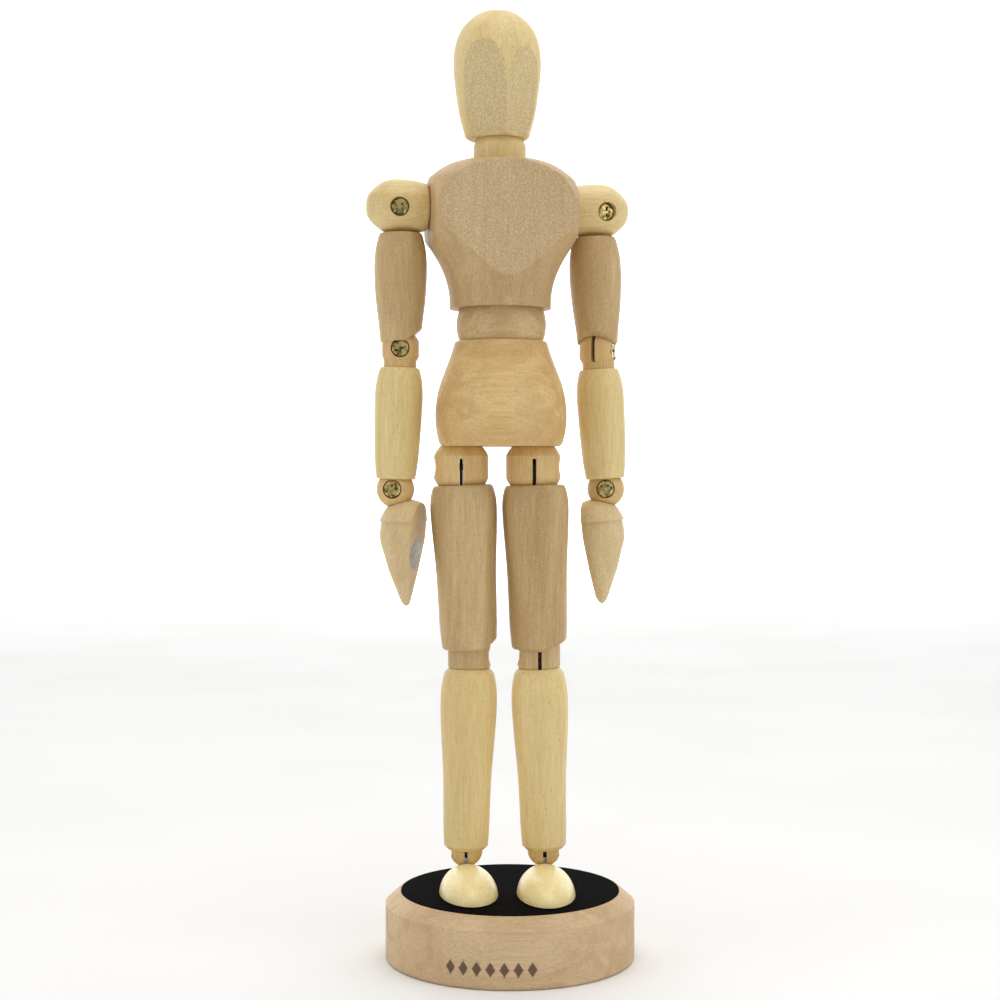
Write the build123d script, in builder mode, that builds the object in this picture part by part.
from build123d import *
import os
from math import cos, radians, sin

os.makedirs("parts", exist_ok=True)

# A 300 mm wooden artist's mannequin on a round magnetic base. Its limbs hang on screwed tongue
# joints: every joint ball has a saw kerf for a flat steel tongue, a cross screw through both, and
# most have a wooden spigot that turns in the next limb. Springs hold the torso, hips and shoulders.
# Millimetres, +Z up, origin at the middle of the base's underside. The figure faces -Y, so its
# right side is at -X. An azimuth is a level direction: 0 is the front and 90 is +X.

# Base
BASE_RADIUS = 39.5
BASE_HEIGHT = 21.2
BASE_BEVEL_DROP = 3.6
BASE_BEVEL_WIDTH = 4.2
BASE_FOOT_ROUND = 1.2
FELT_RADIUS = 34.6
FELT_THICKNESS = 1.4
FELT_PROUD = 0.3
RECESS_ROOM = 0.05
PLATE_RADIUS = 31.0
PLATE_THICKNESS = 1.2
FELT_TOP = BASE_HEIGHT + FELT_PROUD
SOLE_GAP = 0.3
SOLE_Z = FELT_TOP + SOLE_GAP

# Screwed tongue joints
TONGUE_THICKNESS = 1.0
TONGUE_WIDTH = 4.4
TONGUE_EYE_RADIUS = 2.6
KERF_WIDTH = 1.2
EYE_ROOM = 0.25
SHANK_RADIUS = 1.0
SCREW_BORE_RADIUS = 1.1
HEAD_RADIUS = 2.7
HEAD_HEIGHT = 1.5
HEAD_ROUND = 0.6
HEAD_POCKET_RADIUS = 3.0
HEAD_SINK = 0.6
RECESS_WIDTH = 0.8
RECESS_SPAN = 3.2
RECESS_DEPTH = 0.9
SPIGOT = (2.5, 7.0)          # radius and length
SPIGOT_ROOM = 0.08
SPIGOT_END_ROOM = 0.5
SEAT_ROOM = 0.15

# Springs and their pins
WIRE_RADIUS = 0.4
COIL_RADIUS = 1.5
SPRING_BORE_RADIUS = 2.15
PIN_RADIUS = 0.9
LOOP_RADIUS = 1.4
SPRING_INSET = TONGUE_EYE_RADIUS + 1.2   # from a ball's screw to the end of its spring

# Torso: one upright axis, with the chest and the head turned a little to the figure's left
FIGURE_Y = 3.0
TORSO_X = -3.0
CHEST_TURN = 8.0
HEAD_TURN = 10.0
HEAD_X = -4.0
NECK = Vector(-3.2, FIGURE_Y, 255.0)
NECK_RADIUS = 8.6
NECK_BARREL = 8.35
WAIST = Vector(TORSO_X + 0.3, FIGURE_Y, 200.6)
WAIST_RADIUS = 14.25
CHEST_HALF_WIDTH = 22.6
CHEST_HALF_DEPTH = 17.3
HEAD_PIN_Z = 270.0
HEAD_PIN_BACK, HEAD_PIN_AHEAD = 12.2, 5.0
PELVIS_PIN_Z = 176.0

# Shoulders, given in the turned chest's own frame
SHOULDER_REACH = 31.4
SHOULDER_SETBACK = 4.0
SHOULDER_AXIS_Z = 238.0
SHOULDER_SCREW_DROP = 1.0    # the screw crosses the ball just below the spring's axis
SHOULDER_RADIUS = 8.65
SHOULDER_OUTER_REACH = 11.0
SHOULDER_SWEEP_RADIUS = 9.6  # the upper arm's seat sweeps round the ball at this radius

# Joint balls: sphere radius and the radius their sides are turned down to
ELBOW_RADIUS, ELBOW_BARREL = 6.35, 5.9
WRIST_RADIUS, WRIST_BARREL = 6.0, 6.0
HIP_RADIUS, HIP_BARREL = 9.4, 8.7
KNEE_RADIUS, KNEE_BARREL = 7.5, 6.8
ANKLE_RADIUS = 5.3
ANKLE_SPIGOT = (2.2, 3.2)
ELBOW_SKIRT = (5.2, 5.9)

# Heights
ELBOW_Z = 193.0
WRIST_Z = 148.5
HIP_Z = 155.5
KNEE_Z = 95.4
ANKLE_Z = 33.2
UPPER_ARM_TOP_Z, UPPER_ARM_BOTTOM_Z = 229.5, 195.3
FOREARM_TOP_Z, FOREARM_BOTTOM_Z = 187.0, 151.7
THIGH_TOP_Z, THIGH_BOTTOM_Z = 149.8, 97.7
CALF_TOP_Z, CALF_BOTTOM_Z = 91.4, 33.7

# Magnets
PALM_MAGNET_RADIUS = 5.0
PALM_MAGNET_THICKNESS = 2.0
SOLE_MAGNET_RADIUS = 4.5
SOLE_MAGNET_THICKNESS = 2.0
SOLE_MAGNET_AHEAD = 11.5

UP = Vector(0, 0, 1)
FRONT = Vector(0, -1, 0)


def facing(azimuth):
    """Level unit vector at an azimuth."""
    turn = radians(azimuth)
    return Vector(sin(turn), -cos(turn), 0)


def chest_point(across, behind, height):
    """Point given in the turned chest's frame."""
    return Vector(TORSO_X, FIGURE_Y, height) - facing(CHEST_TURN) * behind + facing(CHEST_TURN + 90) * across


def hinge_plane(pivot, azimuth):
    """Plane through a pivot and square to its screw: local x is level, local y is up."""
    screw = facing(azimuth)
    return Plane(origin=pivot, x_dir=UP.cross(screw), z_dir=screw)


def upright_plane(bottom, top):
    """Plane that holds a limb's axis: local y runs up the axis, local x is the radius."""
    axis = (top - bottom).normalized()
    return Plane(origin=bottom, x_dir=axis.cross(FRONT), z_dir=FRONT)


def turned(bottom, top, side, bevel):
    """Turned limb: side lists (radius, height above the bottom); both ends have a bevelled rim."""
    (first_radius, first_height), (last_radius, last_height) = side[0], side[-1]
    with BuildPart() as blank:
        with BuildSketch(upright_plane(bottom, top)):
            with BuildLine():
                Polyline((0, first_height), (first_radius - bevel, first_height),
                         (first_radius, first_height + bevel))
                Spline((first_radius, first_height + bevel), *side[1:-1],
                       (last_radius, last_height - bevel))
                Polyline((last_radius, last_height - bevel), (last_radius - bevel, last_height),
                         (0, last_height), (0, first_height))
            make_face()
        revolve(axis=Axis(bottom, top - bottom))
    return blank.part


def tongue(pivot, azimuth, heading, length):
    """Flat steel tongue with an eye on the pivot; it runs up (heading 1) or down (heading -1)."""
    with BuildPart() as plate:
        with BuildSketch(hinge_plane(pivot, azimuth)):
            Circle(TONGUE_EYE_RADIUS)
            with Locations((0, heading * length / 2)):
                Rectangle(TONGUE_WIDTH, length)
            Circle(SCREW_BORE_RADIUS, mode=Mode.SUBTRACT)
        extrude(amount=TONGUE_THICKNESS / 2, both=True)
    return plate.part


def head_seat(barrel):
    """Distance from a pivot to the underside of its screw head, just below the ball's side."""
    return barrel - HEAD_HEIGHT - HEAD_SINK


def joint_screw(pivot, azimuth, barrel):
    """Cross-recess pan head screw through a joint ball."""
    plane = hinge_plane(pivot, azimuth)
    seat = head_seat(barrel)
    far_end = barrel - 1.5
    with BuildPart() as screw:
        with BuildSketch(plane.offset(-far_end)):
            Circle(SHANK_RADIUS)
        extrude(amount=far_end + seat)
        with BuildSketch(plane.offset(seat)):
            Circle(HEAD_RADIUS)
        extrude(amount=HEAD_HEIGHT)
        crown = screw.faces().sort_by(Axis(pivot, plane.z_dir))[-1]
        fillet(crown.edges(), HEAD_ROUND)
        with BuildSketch(plane.offset(seat + HEAD_HEIGHT)):
            Rectangle(RECESS_SPAN, RECESS_WIDTH)
            Rectangle(RECESS_WIDTH, RECESS_SPAN)
        extrude(amount=-RECESS_DEPTH, mode=Mode.SUBTRACT)
    return screw.part


def kerf_blade(pivot, azimuth, radius, heading, reach):
    """Saw cut for a tongue; reach is how far it passes the pivot at local -x and at local +x.
    A reach of None leaves that side of the ball whole, apart from the room for the tongue."""
    strap_room = TONGUE_WIDTH / 2 + EYE_ROOM
    with BuildPart() as blade:
        with BuildSketch(hinge_plane(pivot, azimuth)):
            Circle(TONGUE_EYE_RADIUS + EYE_ROOM)
            for side, past in zip((-1, 1), reach):
                width = strap_room if past is None else radius + 1
                past = 0 if past is None else past
                with Locations((side * width / 2, heading * (radius + 1 - past) / 2)):
                    Rectangle(width, radius + 1 + past)
        extrude(amount=KERF_WIDTH / 2, both=True)
    return blade.part


def screw_room(pivot, azimuth, barrel, radius):
    """Bore and head pocket for a joint screw."""
    plane = hinge_plane(pivot, azimuth)
    with BuildPart() as room:
        with BuildSketch(plane.offset(1 - barrel)):
            Circle(SCREW_BORE_RADIUS)
        extrude(amount=barrel)
        with BuildSketch(plane):
            Circle(SCREW_BORE_RADIUS)
        extrude(amount=head_seat(barrel))
        with BuildSketch(plane.offset(head_seat(barrel))):
            Circle(HEAD_POCKET_RADIUS)
        extrude(amount=radius)
    return room.part


def joint_ball(pivot, radius, barrel, azimuth, heading, reach, spigot, spigot_size, skirt=None):
    """Joint ball with its kerf and screw bore. spigot is the direction of its turning spigot and
    spigot_size its (radius, length); skirt is the (radius, length) of a fuller foot beside it."""
    blade = kerf_blade(pivot, azimuth, radius, heading, reach)
    room = screw_room(pivot, azimuth, barrel, radius)
    with BuildPart() as ball:
        with Locations(pivot):
            Sphere(radius)
            Cylinder(barrel, 4 * radius, mode=Mode.INTERSECT)
        if skirt:
            with BuildSketch(Plane(origin=pivot, z_dir=spigot)):
                Circle(skirt[0])
            extrude(amount=skirt[1])
        if spigot:
            with BuildSketch(Plane(origin=pivot + spigot * (radius / 2), z_dir=spigot)):
                Circle(spigot_size[0])
            extrude(amount=radius / 2 + spigot_size[1])
        add(blade, mode=Mode.SUBTRACT)
        add(room, mode=Mode.SUBTRACT)
    return ball.part


def spigot_bore(pivot, radius, direction, spigot_size):
    """Room in a limb for the spigot of a joint ball."""
    return rod(pivot, pivot + direction * (radius + spigot_size[1] + SPIGOT_END_ROOM),
               spigot_size[0] + SPIGOT_ROOM)


def tension_spring(start, end, loop_axes):
    """Close-wound tension spring, drawn as touching rings; a loop closes each end that has a pin.
    loop_axes gives the pin direction at the start and at the end, or None for a plain end."""
    axis = (end - start).normalized()
    trims = [0 if pin is None else LOOP_RADIUS for pin in loop_axes]
    body_length = (end - start).length - sum(trims)
    rings = round(body_length / (2 * WIRE_RADIUS))
    pitch = body_length / rings
    body_start = start + axis * trims[0]
    side = Vector(0, 1, 0) if abs(axis.Y) < 0.5 else Vector(1, 0, 0)
    plane = Plane(origin=body_start, x_dir=axis.cross(side), z_dir=axis.cross(side).cross(axis))
    inner = COIL_RADIUS - WIRE_RADIUS
    with BuildPart() as spring:
        with BuildSketch(plane):
            with BuildLine():
                for ring in range(rings):
                    low, high = ring * pitch, (ring + 1) * pitch
                    ThreePointArc((COIL_RADIUS, low), (COIL_RADIUS + WIRE_RADIUS, (low + high) / 2),
                                  (COIL_RADIUS, high))
                Polyline((COIL_RADIUS, body_length), (inner, body_length), (inner, 0), (COIL_RADIUS, 0))
            make_face()
        revolve(axis=Axis(body_start, axis))
        for point, pin in zip((start, end), loop_axes):
            if pin:
                with BuildSketch(Plane(origin=point, x_dir=axis, z_dir=pin)):
                    Circle(LOOP_RADIUS + WIRE_RADIUS)
                    Circle(LOOP_RADIUS - WIRE_RADIUS, mode=Mode.SUBTRACT)
                extrude(amount=WIRE_RADIUS, both=True)
    return spring.part


def rod(start, end, radius):
    """Round bar from one point to another: a pin, or the drill for a straight hole."""
    with BuildPart() as bar:
        with BuildSketch(Plane(origin=start, z_dir=end - start)):
            Circle(radius)
        extrude(amount=(end - start).length)
    return bar.part


def save(part, name):
    """Label a finished piece and write its STEP file."""
    part.label = name
    export_step(part, f"parts/{name}.step")


# ------------------------------------------------------------------------------------- base
with BuildPart() as base_block:
    Cylinder(BASE_RADIUS, BASE_HEIGHT, align=(Align.CENTER, Align.CENTER, Align.MIN))
    chamfer(base_block.edges().sort_by(Axis.Z)[-1], length=BASE_BEVEL_DROP, length2=BASE_BEVEL_WIDTH)
    fillet(base_block.edges().sort_by(Axis.Z)[0], BASE_FOOT_ROUND)
    with Locations((0, 0, BASE_HEIGHT)):
        felt_recess = FELT_THICKNESS - FELT_PROUD
        CounterBoreHole(PLATE_RADIUS + RECESS_ROOM, FELT_RADIUS + RECESS_ROOM, felt_recess,
                        felt_recess + PLATE_THICKNESS)
base_block.part.label = "base_block"
export_step(base_block.part, "parts/base_block.step")

with BuildPart() as base_steel_plate:
    with Locations((0, 0, FELT_TOP - FELT_THICKNESS)):
        Cylinder(PLATE_RADIUS, PLATE_THICKNESS, align=(Align.CENTER, Align.CENTER, Align.MAX))
base_steel_plate.part.label = "base_steel_plate"
export_step(base_steel_plate.part, "parts/base_steel_plate.step")

with BuildPart() as base_felt:
    with Locations((0, 0, FELT_TOP)):
        Cylinder(FELT_RADIUS, FELT_THICKNESS, align=(Align.CENTER, Align.CENTER, Align.MAX))
base_felt.part.label = "base_felt"
export_step(base_felt.part, "parts/base_felt.step")

# ------------------------------------------------------------------------------------- torso
HEAD_BOTTOM_Z = 259.4
HEAD_TOP_Z = 300.0
HEAD_RIM_RADIUS = 10.5
JAW_ROUND = 1.9
FACET_SPREAD = 30.5          # each face facet's azimuth from the head's own front
FACET_DISTANCE = 12.6        # from the head's axis, at FACET_Z
FACET_Z = 282.0
FACET_LEAN = 9.5             # degrees; the facets follow the taper of the jaw

torso_low = Vector(TORSO_X, FIGURE_Y, PELVIS_PIN_Z)
torso_high = Vector(TORSO_X, FIGURE_Y, HEAD_PIN_Z)
spine_bore = rod(torso_low - UP * 3, torso_high + UP * 3, SPRING_BORE_RADIUS)
BACK = -FRONT
head_pin_end = torso_high + BACK * HEAD_PIN_BACK
head_pin_tip = torso_high + FRONT * HEAD_PIN_AHEAD
head_pin_hole = rod(head_pin_tip, head_pin_end + BACK * 4, PIN_RADIUS + 0.02)

with BuildPart() as head:
    with BuildSketch(Plane(origin=(HEAD_X, FIGURE_Y, 0), x_dir=(1, 0, 0), z_dir=FRONT)):
        with BuildLine():
            Line((0, HEAD_BOTTOM_Z), (HEAD_RIM_RADIUS - JAW_ROUND, HEAD_BOTTOM_Z))
            jaw = TangentArc((HEAD_RIM_RADIUS - JAW_ROUND, HEAD_BOTTOM_Z),
                             (HEAD_RIM_RADIUS, HEAD_BOTTOM_Z + JAW_ROUND), tangent=(1, 0))
            Spline(jaw @ 1, (11.8, 266.0), (13.1, 273.6), (13.9, 281.5),
                   (13.4, 288.8), (11.1, 294.4), (7.0, 298.3), (0, HEAD_TOP_Z),
                   tangents=((0.28, 1), (-1, 0)))
            Line((0, HEAD_TOP_Z), (0, HEAD_BOTTOM_Z))
        make_face()
    revolve(axis=Axis((HEAD_X, FIGURE_Y, 0), (0, 0, 1)))
    for side in (-1, 1):
        out = facing(HEAD_TURN + side * FACET_SPREAD)
        foot_of_plane = Vector(HEAD_X, FIGURE_Y, FACET_Z) + out * (FACET_DISTANCE + 0.3 * side)
        lean = out * cos(radians(FACET_LEAN)) - UP * sin(radians(FACET_LEAN))
        split(bisect_by=Plane(origin=foot_of_plane, z_dir=lean), keep=Keep.BOTTOM)
    with Locations(NECK):
        Sphere(NECK_RADIUS + SEAT_ROOM, mode=Mode.SUBTRACT)
    add(spine_bore, mode=Mode.SUBTRACT)
    add(head_pin_hole, mode=Mode.SUBTRACT)
head.part.label = "head"
export_step(head.part, "parts/head.step")

with BuildPart() as neck:
    with Locations(NECK):
        Sphere(NECK_RADIUS)
        Cylinder(NECK_BARREL, 4 * NECK_RADIUS, mode=Mode.INTERSECT)
    add(spine_bore, mode=Mode.SUBTRACT)
neck.part.label = "neck"
export_step(neck.part, "parts/neck.step")

shoulder = {"right": chest_point(-SHOULDER_REACH, SHOULDER_SETBACK, SHOULDER_AXIS_Z),
            "left": chest_point(SHOULDER_REACH, SHOULDER_SETBACK, SHOULDER_AXIS_Z)}
across_bore = rod(shoulder["right"], shoulder["left"], SPRING_BORE_RADIUS)
CHEST_RIM_Z = 205.7

with BuildPart() as chest:
    with BuildSketch(Plane(origin=(TORSO_X, FIGURE_Y, 0), x_dir=(1, 0, 0), z_dir=FRONT)):
        with BuildLine():
            Line((0, CHEST_RIM_Z), (16.1, CHEST_RIM_Z))
            waist_side = Spline((16.1, CHEST_RIM_Z), (16.4, 211.0), (18.8, 218.7), (22.0, 224.3),
                                (24.8, 227.4), tangents=((0, 1), (0.8, 0.6)))
            chest_side = Spline(waist_side @ 1, (26.9, 230.8), (27.5, 235.0), (26.8, 240.3), (24.6, 244.6),
                                (21.0, 248.4), tangents=((0.8, 0.6), (-0.78, 0.62)))
            TangentArc(chest_side @ 1, (10.0, 252.4), tangent=chest_side % 1)
            Line((10.0, 252.4), (0, 252.4))
            Line((0, 252.4), (0, CHEST_RIM_Z))
        make_face()
    revolve(axis=Axis((TORSO_X, FIGURE_Y, 0), (0, 0, 1)))
    for quarter, distance in enumerate((CHEST_HALF_DEPTH, CHEST_HALF_WIDTH) * 2):
        out = facing(CHEST_TURN + 90 * quarter)
        split(bisect_by=Plane(origin=Vector(TORSO_X, FIGURE_Y, 0) + out * distance, z_dir=out),
              keep=Keep.BOTTOM)
    with Locations(NECK):
        Sphere(NECK_RADIUS + SEAT_ROOM, mode=Mode.SUBTRACT)
    with Locations(WAIST):
        Sphere(WAIST_RADIUS + SEAT_ROOM, mode=Mode.SUBTRACT)
    add(spine_bore, mode=Mode.SUBTRACT)
    add(across_bore, mode=Mode.SUBTRACT)
chest.part.label = "chest"
export_step(chest.part, "parts/chest.step")

with BuildPart() as waist_ball:
    with Locations(WAIST):
        Sphere(WAIST_RADIUS)
    add(spine_bore, mode=Mode.SUBTRACT)
waist_ball.part.label = "waist_ball"
export_step(waist_ball.part, "parts/waist_ball.step")

hip = {"right": Vector(-15.5, FIGURE_Y, HIP_Z), "left": Vector(7.5, FIGURE_Y, HIP_Z)}
PELVIS_X = -2.8
PELVIS_TOP_Z = 195.3
PELVIS_BOTTOM_Z = 162.1
PELVIS_FLAT_AZIMUTH = 20.0
PELVIS_FLAT_Z = 174.8
PELVIS_FLAT_DISTANCE = 19.7
PELVIS_FLAT_LEAN = 4.9
pelvis_pin_ends = (Vector(hip["right"].X - 3.0, FIGURE_Y, PELVIS_PIN_Z),
                   Vector(PELVIS_X + 19.6, FIGURE_Y, PELVIS_PIN_Z))
pelvis_pin_hole = rod(pelvis_pin_ends[0], pelvis_pin_ends[1] + Vector(4, 0, 0), PIN_RADIUS + 0.02)
hip_bores = {side: rod(hip[side] + UP * (TONGUE_EYE_RADIUS + 1.0),
                                Vector(hip[side].X, FIGURE_Y, PELVIS_PIN_Z + 3), SPRING_BORE_RADIUS)
             for side in hip}

with BuildPart() as pelvis:
    with BuildSketch(Plane(origin=(PELVIS_X, FIGURE_Y, 0), x_dir=(1, 0, 0), z_dir=FRONT)):
        with BuildLine():
            Polyline((0, PELVIS_BOTTOM_Z), (18.7, PELVIS_BOTTOM_Z), (19.6, PELVIS_BOTTOM_Z + 0.9))
            Spline((19.6, PELVIS_BOTTOM_Z + 0.9), (20.9, 172.5), (19.6, 181.0), (16.9, 188.4),
                   (14.8, PELVIS_TOP_Z - 0.4))
            Polyline((14.8, PELVIS_TOP_Z - 0.4), (14.4, PELVIS_TOP_Z), (0, PELVIS_TOP_Z),
                     (0, PELVIS_BOTTOM_Z))
        make_face()
    revolve(axis=Axis((PELVIS_X, FIGURE_Y, 0), (0, 0, 1)))
    out = facing(PELVIS_FLAT_AZIMUTH)
    split(bisect_by=Plane(origin=Vector(PELVIS_X, FIGURE_Y, PELVIS_FLAT_Z) + out * PELVIS_FLAT_DISTANCE,
                          z_dir=out * cos(radians(PELVIS_FLAT_LEAN)) + UP * sin(radians(PELVIS_FLAT_LEAN))),
          keep=Keep.BOTTOM)
    with Locations(WAIST):
        Sphere(WAIST_RADIUS + SEAT_ROOM, mode=Mode.SUBTRACT)
    with Locations(hip["right"], hip["left"]):
        Sphere(HIP_RADIUS + SEAT_ROOM, mode=Mode.SUBTRACT)
    add(spine_bore, mode=Mode.SUBTRACT)
    for side in hip:
        add(hip_bores[side], mode=Mode.SUBTRACT)
    add(pelvis_pin_hole, mode=Mode.SUBTRACT)
pelvis.part.label = "pelvis"
export_step(pelvis.part, "parts/pelvis.step")

save(rod(head_pin_tip, head_pin_end, PIN_RADIUS), "head_pin")
save(rod(*pelvis_pin_ends, PIN_RADIUS), "pelvis_pin")

inward = {"right": (shoulder["left"] - shoulder["right"]).normalized()}
inward["left"] = -inward["right"]

with BuildPart() as chest_springs:
    add(tension_spring(torso_low, torso_high, (Vector(1, 0, 0), BACK)))
    add(tension_spring(shoulder["right"] + inward["right"] * SPRING_INSET,
                       shoulder["left"] + inward["left"] * SPRING_INSET, (None, None)))
chest_springs.part.label = "chest_springs"
export_step(chest_springs.part, "parts/chest_springs.step")

with BuildPart() as hip_springs:
    for side in hip:
        add(tension_spring(hip[side] + UP * SPRING_INSET,
                           Vector(hip[side].X, FIGURE_Y, PELVIS_PIN_Z), (None, Vector(1, 0, 0))))
hip_springs.part.label = "hip_springs"
export_step(hip_springs.part, "parts/hip_springs.step")

# ------------------------------------------------------------------------------------- limbs
# screws: azimuths of the shoulder, elbow and wrist screws. relief: azimuth, slope and start of
# the planed cut that lets the next limb fold. reach: see kerf_blade.
ARMS = {
    "right": {"outer": -1, "elbow_x": -34.7, "wrist_x": -36.4, "screws": (0, 0, -10),
              "relief": (90, 38, 1.6), "hand_x": -32.5, "tip_x": -33.0, "palm": 73},
    "left": {"outer": 1, "elbow_x": 28.7, "wrist_x": 31.4, "screws": (25, 70, -6),
             "relief": (-20, 40, 2.0), "hand_x": 28.0, "tip_x": 30.3, "palm": -107},
}
LEGS = {
    "right": {"knee_x": -12.9, "ankle_x": -14.0, "screws": (-90, 90, -90), "hip_reach": (2.6, 2.6),
              "knee_reach": (None, 4.5), "relief": (100, 32, 2.8), "toe_y": -26.0, "foot_turn": 4.0},
    "left": {"knee_x": 9.3, "ankle_x": 11.0, "screws": (90, -90, 90), "hip_reach": (2.6, 2.6),
             "knee_reach": (4.5, 1.7), "relief": (120, 18, -3.0), "toe_y": -28.0, "foot_turn": 0.0},
}
# Turned outlines: (radius, height above the limb's lower rim)
UPPER_ARM_SIDE = ((6.5, 0), (6.7, 3.0), (7.75, 12.0), (8.3, 20.0), (8.2, 27.0), (6.8, 34.2))
FOREARM_SIDE = ((6.2, 0), (6.6, 3.0), (7.25, 12.0), (7.6, 22.0), (7.4, 30.0), (6.3, 35.3))
THIGH_SIDE = ((8.6, 0), (9.2, 9.0), (9.6, 25.0), (10.6, 43.0), (10.5, 47.5), (9.6, 52.1))
CALF_SIDE = ((7.0, 0), (7.2, 4.0), (7.6, 20.0), (8.3, 32.0), (9.0, 44.5), (8.7, 52.3), (7.8, 57.7))
HAND_SIDE = ((1.5, 1.3), (3.2, 5.2), (5.6, 11.0), (7.6, 17.4), (8.7, 23.6), (8.5, 27.0), (7.6, 29.8))
HAND_TIP_Z = 111.3
HAND_TOP = 33.8
PALM_Z = 128.0
PALM_DISTANCE = 2.8
PALM_LEAN = 7.7
RIM_BEVEL = 0.3
LIMB_BEVEL = 0.6
ARM_TONGUE, LEG_TONGUE = 15.0, 16.0
FOOT_RADIUS = 9.2
FOOT_AXIS_Z = SOLE_Z - 0.8
HEEL_Y = 11.0


def relief_plane(centre, relief):
    """Plane of the planed cut on a limb's lower rim; centre is on the limb's axis at that rim."""
    azimuth, slope, start = relief
    out = facing(azimuth)
    normal = out * sin(radians(slope)) - UP * cos(radians(slope))
    return Plane(origin=centre + out * start, z_dir=normal)


for side, arm in ARMS.items():
    spring_end = shoulder[side]
    pivot = spring_end - UP * SHOULDER_SCREW_DROP
    elbow = Vector(arm["elbow_x"], pivot.Y, ELBOW_Z)
    wrist = Vector(arm["wrist_x"], pivot.Y, WRIST_Z)
    shoulder_screw, elbow_screw, wrist_screw = arm["screws"]
    outward = -inward[side]
    chest_gap = SHOULDER_REACH - CHEST_HALF_WIDTH - SEAT_ROOM
    spring_bore = rod(spring_end + inward[side] * (SPRING_INSET - 0.2),
                      spring_end + inward[side] * 12, SPRING_BORE_RADIUS)
    blade = kerf_blade(pivot, shoulder_screw, SHOULDER_OUTER_REACH, -1,
                       (2.6, None) if arm["outer"] < 0 else (None, 2.6))
    room = screw_room(pivot, shoulder_screw, SHOULDER_RADIUS, SHOULDER_OUTER_REACH)

    with BuildPart() as shoulder_ball:
        with BuildSketch(Plane(origin=spring_end, x_dir=UP, z_dir=UP.cross(outward))):
            with BuildLine():
                Polyline((0, -chest_gap), (6.7, -chest_gap), (7.5, 0.7 - chest_gap))
                Spline((7.5, 0.7 - chest_gap), (SHOULDER_RADIUS, -0.6), (7.9, 5.4), (5.0, 9.2),
                       (0, SHOULDER_OUTER_REACH), tangents=((0.3, 1), (-1, 0)))
                Line((0, SHOULDER_OUTER_REACH), (0, -chest_gap))
            make_face()
        revolve(axis=Axis(spring_end, outward))
        add(blade, mode=Mode.SUBTRACT)
        add(room, mode=Mode.SUBTRACT)
        add(spring_bore, mode=Mode.SUBTRACT)
    shoulder_ball.part.label = f"{side}_shoulder_ball"
    export_step(shoulder_ball.part, f"parts/{side}_shoulder_ball.step")
    save(joint_screw(pivot, shoulder_screw, SHOULDER_RADIUS), f"{side}_shoulder_screw")

    top_centre = Vector(pivot.X, pivot.Y, UPPER_ARM_TOP_Z)
    low_centre = Vector(elbow.X, elbow.Y, UPPER_ARM_BOTTOM_Z)
    blank = turned(low_centre, top_centre, UPPER_ARM_SIDE, RIM_BEVEL)
    tangs = [tongue(pivot, shoulder_screw, -1, ARM_TONGUE), tongue(elbow, elbow_screw, 1, ARM_TONGUE)]
    with BuildPart() as upper_arm:
        add(blank)
        split(bisect_by=relief_plane(low_centre, arm["relief"]), keep=Keep.BOTTOM)
        with Locations(pivot):
            Sphere(SHOULDER_SWEEP_RADIUS + SEAT_ROOM, mode=Mode.SUBTRACT)
        with Locations(elbow):
            Sphere(ELBOW_RADIUS + SEAT_ROOM, mode=Mode.SUBTRACT)
        for tang in tangs:
            add(tang, mode=Mode.SUBTRACT)
    upper_arm.part.label = f"{side}_upper_arm"
    export_step(upper_arm.part, f"parts/{side}_upper_arm.step")
    with BuildPart() as upper_arm_tongues:
        for tang in tangs:
            add(tang)
    upper_arm_tongues.part.label = f"{side}_upper_arm_tongues"
    export_step(upper_arm_tongues.part, f"parts/{side}_upper_arm_tongues.step")

    forearm_down = (wrist - elbow).normalized()
    save(joint_ball(elbow, ELBOW_RADIUS, ELBOW_BARREL, elbow_screw, 1, (3.8, 3.8), forearm_down,
                    SPIGOT, ELBOW_SKIRT), f"{side}_elbow_ball")
    save(joint_screw(elbow, elbow_screw, ELBOW_BARREL), f"{side}_elbow_screw")

    forearm_low = elbow + forearm_down * (ELBOW_Z - FOREARM_BOTTOM_Z)
    forearm_high = elbow + forearm_down * (ELBOW_Z - FOREARM_TOP_Z)
    blank = turned(forearm_low, forearm_high, FOREARM_SIDE, RIM_BEVEL)
    bore = spigot_bore(elbow, ELBOW_RADIUS, forearm_down, SPIGOT)
    tang = tongue(wrist, wrist_screw, 1, ARM_TONGUE)
    with BuildPart() as forearm:
        add(blank)
        add(bore, mode=Mode.SUBTRACT)
        with Locations(wrist):
            Sphere(WRIST_RADIUS + SEAT_ROOM, mode=Mode.SUBTRACT)
        add(tang, mode=Mode.SUBTRACT)
    forearm.part.label = f"{side}_forearm"
    export_step(forearm.part, f"parts/{side}_forearm.step")
    save(tang, f"{side}_forearm_tongue")

    save(joint_ball(wrist, WRIST_RADIUS, WRIST_BARREL, wrist_screw, 1, (3.2, 3.2), -UP, SPIGOT),
         f"{side}_wrist_ball")
    save(joint_screw(wrist, wrist_screw, WRIST_BARREL), f"{side}_wrist_screw")

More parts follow.
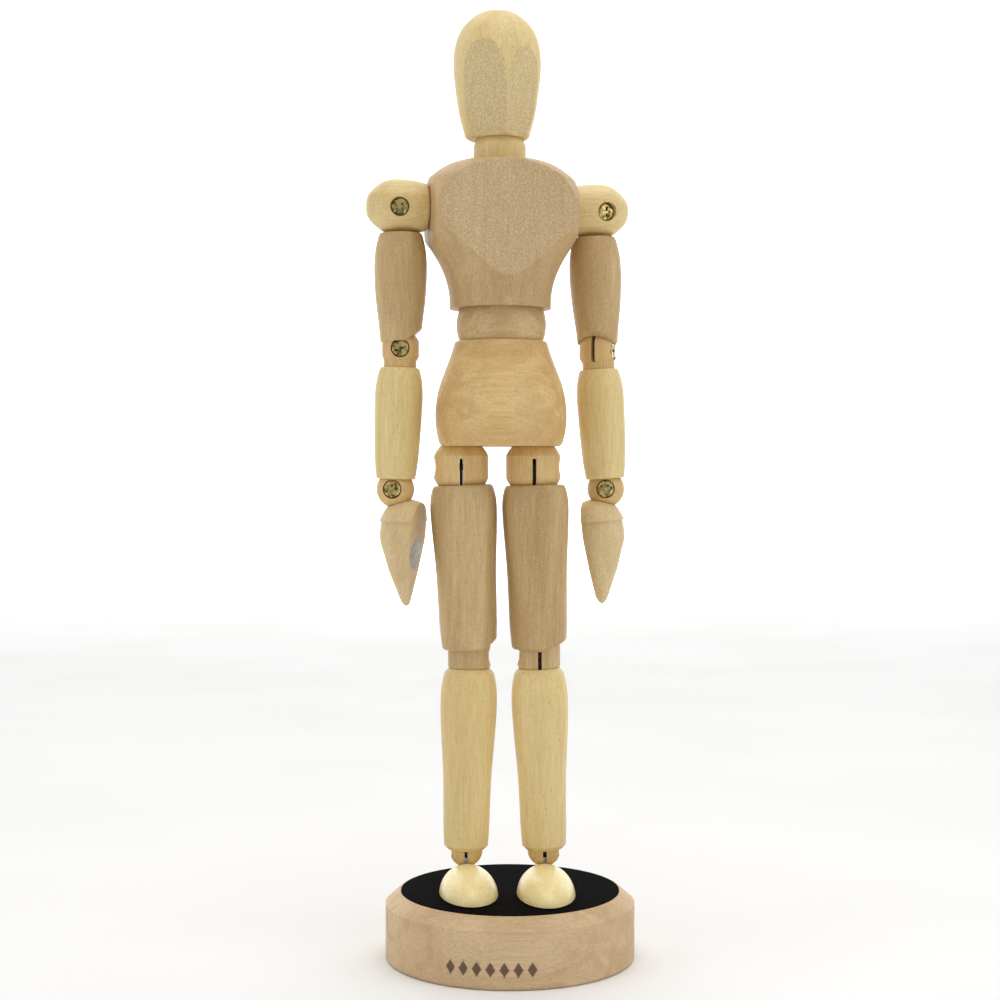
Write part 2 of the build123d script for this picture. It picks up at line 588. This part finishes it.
    tip = Vector(arm["tip_x"], wrist.Y, HAND_TIP_Z)
    knuckle = Vector(arm["hand_x"], wrist.Y, HAND_TIP_Z + HAND_TOP)
    palm_out = facing(arm["palm"])
    palm_normal = palm_out * cos(radians(PALM_LEAN)) - UP * sin(radians(PALM_LEAN))
    palm_centre = tip + (knuckle - tip) * ((PALM_Z - HAND_TIP_Z) / HAND_TOP) + palm_out * PALM_DISTANCE
    bore = spigot_bore(wrist, WRIST_RADIUS, -UP, SPIGOT)
    magnet = rod(palm_centre - palm_normal * PALM_MAGNET_THICKNESS, palm_centre, PALM_MAGNET_RADIUS)
    with BuildPart() as hand:
        with BuildSketch(upright_plane(tip, knuckle)):
            with BuildLine():
                side_line = Spline((0, 0), *HAND_SIDE, tangents=((1, 0.25), (-0.5, 1)))
                TangentArc(side_line @ 1, (0, HAND_TOP), tangent=side_line % 1)
                Line((0, HAND_TOP), (0, 0))
            make_face()
        revolve(axis=Axis(tip, knuckle - tip))
        split(bisect_by=Plane(origin=palm_centre, z_dir=palm_normal), keep=Keep.BOTTOM)
        with Locations(wrist):
            Sphere(WRIST_RADIUS + SEAT_ROOM, mode=Mode.SUBTRACT)
        add(bore, mode=Mode.SUBTRACT)
        add(magnet, mode=Mode.SUBTRACT)
    hand.part.label = f"{side}_hand"
    export_step(hand.part, f"parts/{side}_hand.step")
    save(magnet, f"{side}_palm_magnet")

for side, leg in LEGS.items():
    knee = Vector(leg["knee_x"], FIGURE_Y, KNEE_Z)
    ankle = Vector(leg["ankle_x"], FIGURE_Y, ANKLE_Z)
    hip_screw, knee_screw, ankle_screw = leg["screws"]
    blade = kerf_blade(hip[side], hip_screw, HIP_RADIUS, -1, leg["hip_reach"])
    room = screw_room(hip[side], hip_screw, HIP_BARREL, HIP_RADIUS)
    with BuildPart() as hip_ball:
        with Locations(hip[side]):
            Sphere(HIP_RADIUS)
            Cylinder(HIP_BARREL, 4 * HIP_RADIUS, mode=Mode.INTERSECT)
        add(blade, mode=Mode.SUBTRACT)
        add(room, mode=Mode.SUBTRACT)
        add(hip_bores[side], mode=Mode.SUBTRACT)
    hip_ball.part.label = f"{side}_hip_ball"
    export_step(hip_ball.part, f"parts/{side}_hip_ball.step")
    save(joint_screw(hip[side], hip_screw, HIP_BARREL), f"{side}_hip_screw")

    thigh_low = Vector(knee.X, FIGURE_Y, THIGH_BOTTOM_Z)
    thigh_high = Vector(hip[side].X + 0.5, FIGURE_Y, THIGH_TOP_Z)
    blank = turned(thigh_low, thigh_high, THIGH_SIDE, LIMB_BEVEL)
    tang = tongue(hip[side], hip_screw, -1, LEG_TONGUE)
    bore = spigot_bore(knee, KNEE_RADIUS, UP, SPIGOT)
    with BuildPart() as thigh:
        add(blank)
        split(bisect_by=relief_plane(thigh_low, leg["relief"]), keep=Keep.BOTTOM)
        with Locations(hip[side]):
            Sphere(HIP_RADIUS + SEAT_ROOM, mode=Mode.SUBTRACT)
        with Locations(knee):
            Sphere(KNEE_RADIUS + SEAT_ROOM, mode=Mode.SUBTRACT)
        add(bore, mode=Mode.SUBTRACT)
        add(tang, mode=Mode.SUBTRACT)
    thigh.part.label = f"{side}_thigh"
    export_step(thigh.part, f"parts/{side}_thigh.step")
    save(tang, f"{side}_thigh_tongue")

    save(joint_ball(knee, KNEE_RADIUS, KNEE_BARREL, knee_screw, -1, leg["knee_reach"], UP, SPIGOT),
         f"{side}_knee_ball")
    save(joint_screw(knee, knee_screw, KNEE_BARREL), f"{side}_knee_screw")

    calf_low = Vector(ankle.X, FIGURE_Y, CALF_BOTTOM_Z)
    calf_high = Vector(knee.X, FIGURE_Y, CALF_TOP_Z)
    blank = turned(calf_low, calf_high, CALF_SIDE, 2 * LIMB_BEVEL)
    tangs = [tongue(knee, knee_screw, -1, LEG_TONGUE), tongue(ankle, ankle_screw, 1, LEG_TONGUE)]
    with BuildPart() as calf:
        add(blank)
        with Locations(knee):
            Sphere(KNEE_RADIUS + SEAT_ROOM, mode=Mode.SUBTRACT)
        with Locations(ankle):
            Sphere(ANKLE_RADIUS + SEAT_ROOM, mode=Mode.SUBTRACT)
        for tang in tangs:
            add(tang, mode=Mode.SUBTRACT)
    calf.part.label = f"{side}_calf"
    export_step(calf.part, f"parts/{side}_calf.step")
    with BuildPart() as calf_tongues:
        for tang in tangs:
            add(tang)
    calf_tongues.part.label = f"{side}_calf_tongues"
    export_step(calf_tongues.part, f"parts/{side}_calf_tongues.step")

    save(joint_ball(ankle, ANKLE_RADIUS, ANKLE_RADIUS, ankle_screw, 1, (3.4, 3.4), -UP, ANKLE_SPIGOT),
         f"{side}_ankle_ball")
    save(joint_screw(ankle, ankle_screw, ANKLE_RADIUS), f"{side}_ankle_screw")

    ahead = facing(leg["foot_turn"])
    heel = Vector(ankle.X, FIGURE_Y, FOOT_AXIS_Z) - ahead * (HEEL_Y - FIGURE_Y)
    toe = Vector(ankle.X, FIGURE_Y, FOOT_AXIS_Z) + ahead * (FIGURE_Y - leg["toe_y"])
    foot_length = (toe - heel).length
    sole_centre = Vector(ankle.X, FIGURE_Y, SOLE_Z) + ahead * SOLE_MAGNET_AHEAD
    magnet = rod(sole_centre, sole_centre + UP * SOLE_MAGNET_THICKNESS, SOLE_MAGNET_RADIUS)
    bore = spigot_bore(ankle, ANKLE_RADIUS, -UP, ANKLE_SPIGOT)
    with BuildPart() as foot:
        with BuildSketch(Plane(origin=heel, x_dir=UP, z_dir=UP.cross(ahead))):
            with BuildLine():
                EllipticalCenterArc((0, foot_length / 2), FOOT_RADIUS, foot_length / 2,
                                    start_angle=-90, arc_size=180)
                Line((0, foot_length), (0, 0))
            make_face()
        revolve(axis=Axis(heel, ahead))
        split(bisect_by=Plane(origin=sole_centre, z_dir=-UP), keep=Keep.BOTTOM)
        with Locations(ankle):
            Sphere(ANKLE_RADIUS + SEAT_ROOM, mode=Mode.SUBTRACT)
        add(bore, mode=Mode.SUBTRACT)
        add(magnet, mode=Mode.SUBTRACT)
    foot.part.label = f"{side}_foot"
    export_step(foot.part, f"parts/{side}_foot.step")
    save(magnet, f"{side}_sole_magnet")
